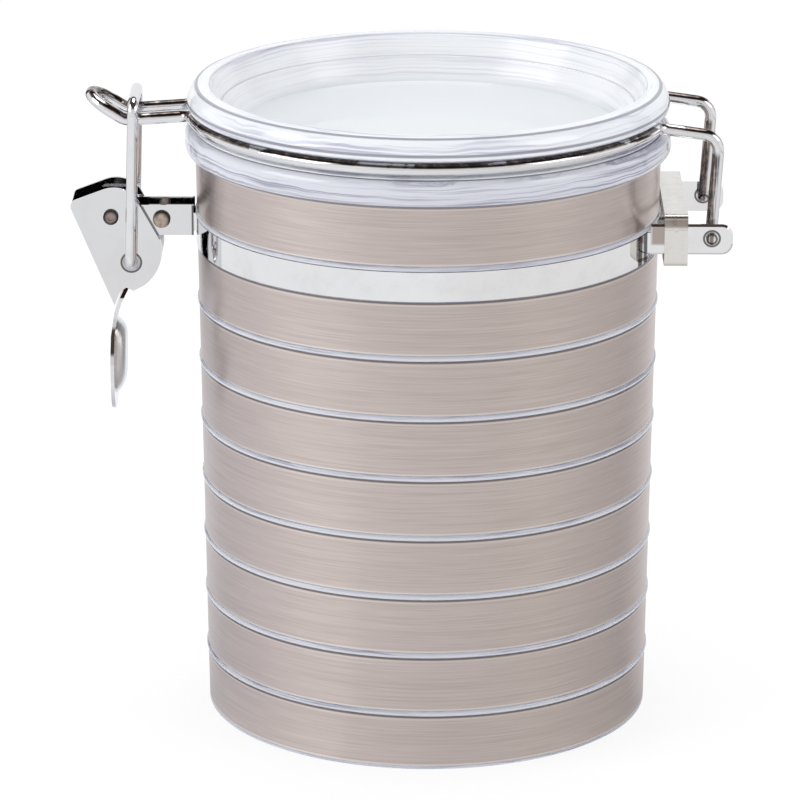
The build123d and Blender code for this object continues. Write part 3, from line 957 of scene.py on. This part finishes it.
@dataclass
class ClampBand:
    """The two half bands, their keeper and the hinge ears.

    Attributes:
        hinge: along X, height and radius of the painted shade round the holes in the ears
        joints: where along X the two stripes of painted shade where the band meets its ears start and end
        seam_shade_colour: colour of that painted shade
        stain: the brown stain at the root of each ear
    """

    hinge: Point = (0.0752, 0.1362, 0.0021)
    # two stripes of painted shade where the band meets its ears
    joints: tuple[Span, ...] = ((0.0555, 0.0567), (0.0571, 0.0581))
    seam_shade_colour: Colour = paint(44, 40, 38)
    stain: Patch = Patch(
        (0.0592, -0.04, 0.1345), (0.0632, 0.04, 0.15), paint(158, 142, 132), 0.8, dulling=0.1, soft=0.0005
    )

    def dress(self) -> None:
        """Dress the band's two halves and the keeper."""
        # stripes of painted shade where the band meets its ears
        joints = [
            Patch((start, -0.04, 0.12), (end, 0.04, 0.15), self.seam_shade_colour, share=0.95)
            for start, end in self.joints
        ]
        band = PolishedPlate(Plating.BAND, (self.hinge,), patches=(*joints, self.stain))
        plate = band.make("band_plate")
        dress("band_front", plate)
        dress("band_rear", plate)
        _, top = heights("hinge_keeper")
        dress("hinge_keeper", SatinStrap(top).make("keeper_satin"))


@dataclass
class Latch:
    """The bracket, its two rivets, the lever and the draw loop.

    Attributes:
        pivot: middle of the pivot rivet
        pivot_head: radius of its heads
        pivot_rim: radius from which painted shade darkens them
        pivot_bright: colour of its rubbed metal
        rivet: middle of the bracket rivet
        rivet_head: radius of its heads
        rivet_rim: radius from which painted shade darkens them
        eye: along X, height and radius of the painted shade round the holes that carry the draw loop
        brow_shade: the line of painted shade along the lever's edge over the bracket
        bracket_end_shade: the painted shade over the bracket's end at the cup
        dish: the frosted dish in the thumb tab
        root: the painted shade in the thumb tab's root
    """

    pivot: Point = (-0.085, 0.0, 0.13725)
    pivot_head: float = 0.00205
    pivot_rim: float = 0.00082
    pivot_bright: Colour = paint(158, 150, 146)
    rivet: Point = (-0.07145, 0.0, 0.1364)
    rivet_head: float = 0.00235
    rivet_rim: float = 0.0010575
    eye: Point = (-0.0797, 0.1246, 0.00265)
    # a line of painted shade along the lever's edge
    brow_shade: ShadeLine = (-0.0779, 0.1421, -0.0718, 0.1311)
    # painted shade over the bracket's end
    bracket_end_shade: Patch = Patch((-0.0634, -0.0200, 0.1000), (-0.0600, 0.0200, 0.1600), paint(34, 32, 34))
    dish: Patch = Patch(
        (-0.0840, -0.0100, 0.0835), (-0.0700, 0.0100, 0.1085), paint(240, 248, 250), 0.9, dulling=0.24
    )
    # painted shade in the thumb tab's root, where the lever is hollow
    root: Patch = Patch(
        (-0.0840, -0.00625, 0.1144), (-0.0770, 0.00625, 0.1205), paint(38, 28, 24), 1.0, soft=0.0001
    )

    def dress(self) -> None:
        """Dress the latch's pieces."""
        bracket = PolishedPlate(Plating.LATCH, patches=(self.bracket_end_shade,))
        dress("latch_bracket", bracket.make("bracket_plate"))
        lever = PolishedPlate(Plating.LATCH, (self.eye,), (self.brow_shade,), (self.dish, self.root))
        dress("lever", lever.make("lever_plate"))
        dress("draw_loop", PolishedPlate(Plating.WIRE).make("loop_plate"))
        pivot = TurnedRivet(
            self.pivot, self.pivot_head, self.pivot_rim, lean=-self.pivot_head, bright=self.pivot_bright
        )
        dress("pivot_rivet", pivot.make("pivot_turned"))
        rivet = TurnedRivet(self.rivet, self.rivet_head, self.rivet_rim)
        dress("bracket_rivet", rivet.make("rivet_turned"))


@dataclass
class LidAssembly:
    """The lid, its gasket and the bail that carries them.

    Attributes:
        edges: radius, height, half width and strength of the lid's edges along which a line of painted shade
            is drawn
    """

    edges: tuple[Edge, ...] = (
        (0.0620, 0.1728, 0.0007, 0.8),
        (0.0644, 0.1689, 0.0005, 0.8),
        (0.0641, 0.1676, 0.0005, 0.8),
        (0.0583, 0.1731, 0.0004, 0.35),
        (0.0553, 0.1674, 0.0004, 0.35),
        (0.0522, 0.1612, 0.0006, 0.35),
    )

    def dress(self) -> None:
        """Dress the lid's pieces."""
        clear = ClearMoulding(
            pale=paint(240, 243, 247), ring=paint(180, 180, 202), line=paint(128, 128, 140),
            strength=0.8, clearness=0.22, dish=Dish(), edges=self.edges,
        )
        dress("lid", clear.make("lid_clear"))
        dress("gasket", SoftSeal().make("gasket_soft"))
        dress("bail_wire", PaintedReflectionWire().make("bail_painted_reflection"))


@dataclass(frozen=True)
class Viewpoint:
    """Where the picture is taken from.

    Attributes:
        place: the camera's place in metres
        heading: turn about Z, to the right of +Y, in radians
        dip: how far it looks down, in radians
        tilt: roll about its own axis, in radians
        focal_pixels: focal length in pixels of the picture
        picture_pixels: width of the picture
        sensor_mm: width of the sensor
        clip: nearest and furthest distance that it shows
    """

    place: Point = (0.0, -1.26258, 0.47731)
    heading: float = -0.0059064
    dip: float = 0.3019317
    tilt: float = 0.0013799
    focal_pixels: float = 4852.82
    picture_pixels: int = 800
    sensor_mm: float = 36.0
    clip: Span = (0.05, 50.0)

    def build(self) -> None:
        """Create the camera and make it the scene's own."""
        lens = bpy.data.cameras.new("picture_camera")
        lens.sensor_width = self.sensor_mm
        lens.lens = self.focal_pixels * self.sensor_mm / self.picture_pixels
        lens.clip_start, lens.clip_end = self.clip
        camera = bpy.data.objects.new("picture_camera", lens)
        bpy.context.scene.collection.objects.link(camera)
        sin_turn, cos_turn = math.sin(self.heading), math.cos(self.heading)
        sin_dip, cos_dip = math.sin(self.dip), math.cos(self.dip)
        ahead = Vector((sin_turn * cos_dip, cos_turn * cos_dip, -sin_dip))
        side = Vector((cos_turn, -sin_turn, 0.0))
        over = side.cross(ahead)
        right = side * math.cos(self.tilt) + over * math.sin(self.tilt)
        up = over * math.cos(self.tilt) - side * math.sin(self.tilt)
        turn = Matrix((right, up, -ahead)).transposed().to_4x4()
        camera.matrix_world = Matrix.Translation(self.place) @ turn
        bpy.context.scene.camera = camera


@dataclass(frozen=True)
class Floor:
    """White floor that shows as white and keeps the object's shadow.

    Polished metal mirrors its near part in tones by heading, and its far part with dark cards.

    Attributes:
        size: radius of the floor
        sides: how many sides its outline has
        matt: its two matt colours
        grain: clouds of the second colour to a metre
        white_share: share of plain white over the matt floor, where the picture sees it
        tones: tone of the near floor by heading in degrees, 0 to the front
        near: distances out between which the near floor gives way to the far floor
        reach: how far the cup's side turns a look aside, in metres of floor
        turning: share of the heading that sets how much
        foot: distances out between which the shade round the object's foot fades
        foot_share: strength of that shade
        foot_shade: its colour
        wide: colours of the far floor to the left and to the right
        wide_turn: headings between which they change, in radians
        latch_cards: headings of the two dark cards on the latch's side, and how softly they start
        weaker: strength of the second of them
        hinge_card: headings of the dark card on the hinge's side, and how softly it starts
        slant: distance out at which it has them, and how much they turn over a metre more
        card: colour of the cards
    """

    size: float = 6.0
    sides: int = 96
    matt: tuple[Colour, Colour] = (paint(244, 244, 245), paint(248, 248, 248))
    grain: float = 3.0
    white_share: float = 0.78
    tones: tuple[tuple[float, Colour], ...] = (
        (-180, paint(250, 251, 255)),
        (-130, paint(219, 220, 226)),
        (-95, paint(234, 235, 240)),
        (-41, paint(255, 255, 255)),
        (-36, paint(245, 245, 247)),
        (-18, paint(243, 243, 244)),
        (0, paint(237, 237, 237)),
        (25, paint(233, 233, 232)),
        (60, paint(224, 223, 221)),
        (120, paint(199, 198, 199)),
        (160, paint(240, 240, 243)),
        (180, paint(250, 251, 255)),
    )
    near: Span = (0.47, 0.50)
    reach: float = 0.064
    turning: float = 0.55
    foot: Span = (0.09, 0.20)
    foot_share: float = 0.10
    foot_shade: Colour = paint(96, 92, 90)
    wide: tuple[Colour, Colour] = (paint(244, 245, 246), paint(238, 237, 237))
    wide_turn: Span = (0.0, 0.4)
    latch_cards: tuple[Point, Point] = ((-2.70, -2.47, 0.03), (-2.29, -2.18, 0.03))
    weaker: float = 0.6
    hinge_card: Point = (2.28, 2.50, 0.03)
    slant: Span = (0.52, 3.6)
    card: Colour = paint(58, 53, 52)

    def lay(self) -> None:
        bpy.ops.object.select_all(action="DESELECT")
        bpy.ops.mesh.primitive_circle_add(vertices=self.sides, radius=self.size, fill_type="NGON")
        floor = bpy.context.active_object
        floor.name = "floor"
        floor.data.materials.append(self.whiten())

    def whiten(self) -> bpy.types.Material:
        """Make the floor's finish.

        Returns:
            The material.
        """
        material = bpy.data.materials.new("floor_white")
        bench = NodeBench(material)
        grain = bench.noise(bench.place(), self.grain, detail=2.0)
        look = {"Base Color": bench.blend(grain, *self.matt), "Roughness": 0.85, "Specular IOR Level": 0.1}
        matt = bench.node("ShaderNodeBsdfPrincipled", {}, look)
        seen, glossy = bench.rays()
        mirrored = self.mirrored(bench)
        white = bench.node("ShaderNodeEmission", {}, {"Color": bench.blend(glossy, WHITE, mirrored)})
        behind = bench.sum_up("MINIMUM", seen, 1.0) * self.white_share
        mixed = bench.either(matt, white, bench.sum_up("MINIMUM", behind + glossy, 1.0))
        bench.node("ShaderNodeOutputMaterial", {}, {"Surface": mixed.outputs[0]})
        return material

    def mirrored(self, bench: NodeBench) -> Signal:
        """Colour of the floor as polished metal mirrors it.

        Args:
            bench: takes the nodes

        Returns:
            The colour.
        """
        x, y, _ = bench.axes(bench.place())
        out = bench.radius(x, y)
        turn = bench.heading(x, y)
        aim = turn + bench.sum_up("SINE", turn * self.turning) * self.reach / out
        stops = tuple((0.5 + heading / 360, tone) for heading, tone in self.tones)
        tone = bench.node("ShaderNodeValToRGB", {"stops": stops}, {"Fac": aim / math.tau + 0.5})
        wide = bench.blend(aim.rise(*self.wide_turn), *self.wide)
        whole, weaker = self.latch_cards
        cards = aim.between(*whole) + aim.between(*weaker) * self.weaker
        start, turning = self.slant
        hinge_card = (aim + (out - start) * turning).between(*self.hinge_card)
        far = bench.blend(cards + hinge_card, wide, self.card)
        foot = out.fade(*self.foot) * self.foot_share
        close = bench.blend(foot, Signal(bench, tone.outputs[0]), self.foot_shade)
        return bench.blend(out.rise(*self.near), close, far)


@dataclass(frozen=True)
class Surroundings:
    """White surroundings, which polished metal mirrors with a dark ceiling and two dark cards.

    Attributes:
        walls: their colour
        front: their colour to the front, as metal mirrors it
        front_turn: headings between which that is, and how softly
        dark: colour of the ceiling and the cards
        ceiling: steepness of a look at which the ceiling starts and is whole
        cards: headings of both cards, and how softly they start
        card_rise: steepness of a look to a card's foot and top, and how softly they fade
    """

    walls: Colour = paint(246, 246, 247)
    front: Colour = paint(226, 226, 227)
    front_turn: Point = (-0.45, 0.80, 0.12)
    dark: Colour = paint(74, 64, 58)
    ceiling: Span = (0.42, 0.72)
    cards: tuple[Point, Point] = ((-2.68, -2.36, 0.03), (1.98, 2.24, 0.03))
    card_rise: Point = (-0.4, 0.5, 0.1)

    def build(self) -> None:
        """Create the surroundings and make them the scene's own."""
        world = bpy.data.worlds.new("studio")
        bpy.context.scene.world = world
        bench = NodeBench(world)
        seat = bench.node("ShaderNodeTexCoord")
        x, y, z = bench.axes(Signal(bench, seat.outputs["Generated"]))
        turn = bench.heading(x, y)
        ceiling = z.rise(*self.ceiling)
        left, right = (turn.between(*card) for card in self.cards)
        cards = (left + right) * z.between(*self.card_rise)
        walls = bench.blend(turn.between(*self.front_turn), self.walls, self.front)
        mirrored = bench.blend(bench.sum_up("MAXIMUM", ceiling, cards), walls, self.dark)
        plain = bench.node("ShaderNodeBackground", {}, {"Color": self.walls})
        gloss = bench.node("ShaderNodeBackground", {}, {"Color": mirrored})
        white = bench.node("ShaderNodeBackground", {}, {"Color": WHITE})
        seen, glossy = bench.rays()
        room = bench.either(plain, gloss, glossy)
        mixed = bench.either(room, white, bench.sum_up("MINIMUM", seen, 1.0))
        bench.node("ShaderNodeOutputWorld", {}, {"Surface": mixed.outputs[0]})


@dataclass(frozen=True)
class Lamp:
    """A soft square lamp that faces the object.

    Attributes:
        name: its name
        place: its middle
        size: its side
        power: its power in watts
        target: the point that it faces
    """

    name: str
    place: Point
    size: float
    power: float
    target: Point = (0.0, 0.0, 0.08)

    def hang(self) -> None:
        """Hang the lamp in the scene."""
        light = bpy.data.lights.new(self.name, "AREA")
        light.shape = "SQUARE"
        light.size = self.size
        light.energy = self.power
        lamp = bpy.data.objects.new(self.name, light)
        lamp.location = self.place
        aim = Vector(self.target) - Vector(self.place)
        lamp.rotation_euler = aim.to_track_quat("-Z", "Y").to_euler()
        bpy.context.scene.collection.objects.link(lamp)


@dataclass
class Studio:
    """White floor, white surroundings and soft lamps.

    Attributes:
        lamps: the lamps
    """

    lamps: tuple[Lamp, ...] = (
        Lamp("soft_left", (-1.3, -0.5, 0.9), size=0.9, power=9.0),
        Lamp("soft_right", (1.5, -0.7, 1.1), size=0.8, power=5.0),
        Lamp("soft_top", (0.1, 0.4, 1.7), size=1.0, power=8.0),
    )

    def build(self) -> None:
        """Set up the floor, the surroundings and the lamps."""
        Floor().lay()
        Surroundings().build()
        for lamp in self.lamps:
            lamp.hang()
        bpy.context.scene.view_settings.view_transform = "Standard"


def main() -> None:
    """Dress each sub-assembly in order, then set up the picture."""
    logging.basicConfig(level=logging.INFO, format="%(name)s: %(message)s")
    Viewpoint().build()
    for part in (Cup(), ClampBand(), Latch(), LidAssembly()):
        part.dress()
        log.info("%s is done", type(part).__name__)
    Studio().build()


if __name__ == "__main__":
    main()
